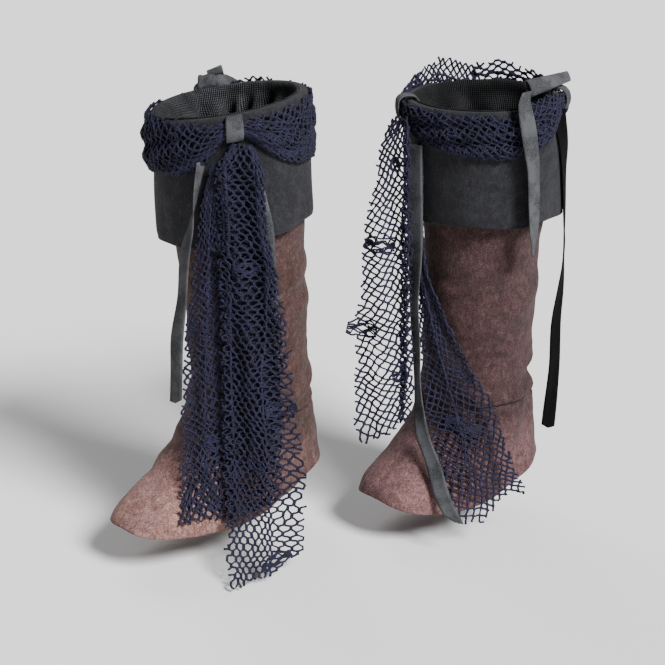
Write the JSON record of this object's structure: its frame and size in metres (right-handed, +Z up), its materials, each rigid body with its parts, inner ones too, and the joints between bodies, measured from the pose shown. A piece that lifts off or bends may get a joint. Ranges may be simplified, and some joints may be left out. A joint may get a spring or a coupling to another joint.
{
  "type": "pair of boot covers",
  "caption": "Pair of costume boot covers: brown spats and leg tubes, charcoal turned-down cuffs, knit lining and a navy net sash held by tape loops and ties.",
  "frame": {"origin": "centre of the left cover's calf, on its leg axis and 300 mm above the ground that the feet stand on, where the leg holds it up", "axes": "+Z up; the covers are seen from -Y with the left one at the viewer's left; the toes point to -X and -Y"},
  "size_m": [0.4607, 0.2976, 0.4716],
  "materials": {
    "brown_suede": "brushed faux suede, matt, mottled",
    "charcoal_suede": "brushed faux suede, matt, mottled",
    "rib_knit": "fine rib knit, matt",
    "navy_net": "open knotless net of soft cord, slightly lustrous",
    "charcoal_tape": "flat suede-like tape, matt"
  },
  "bodies": {
    "root": {"left_cuff": "charcoal_suede", "left_knot": "charcoal_tape", "left_knot_loop": "charcoal_tape", "left_leg": "brown_suede", "left_lining": "rib_knit", "left_loop": "charcoal_tape", "left_net_band": "navy_net", "left_net_layer": "navy_net", "left_net_tail": "navy_net", "left_spat": "brown_suede", "left_tape_back": "charcoal_tape", "left_tape_front": "charcoal_tape", "right_bow_loop": "charcoal_tape", "right_cuff": "charcoal_suede", "right_leg": "brown_suede", "right_lining": "rib_knit", "right_loop": "charcoal_tape", "right_net_band": "navy_net", "right_net_layer": "navy_net", "right_net_tail": "navy_net", "right_side_loop": "charcoal_tape", "right_spat": "brown_suede", "right_tape_front": "charcoal_tape", "right_tape_instep": "charcoal_tape", "right_tape_side": "charcoal_tape"}
  },
  "joints": []
}
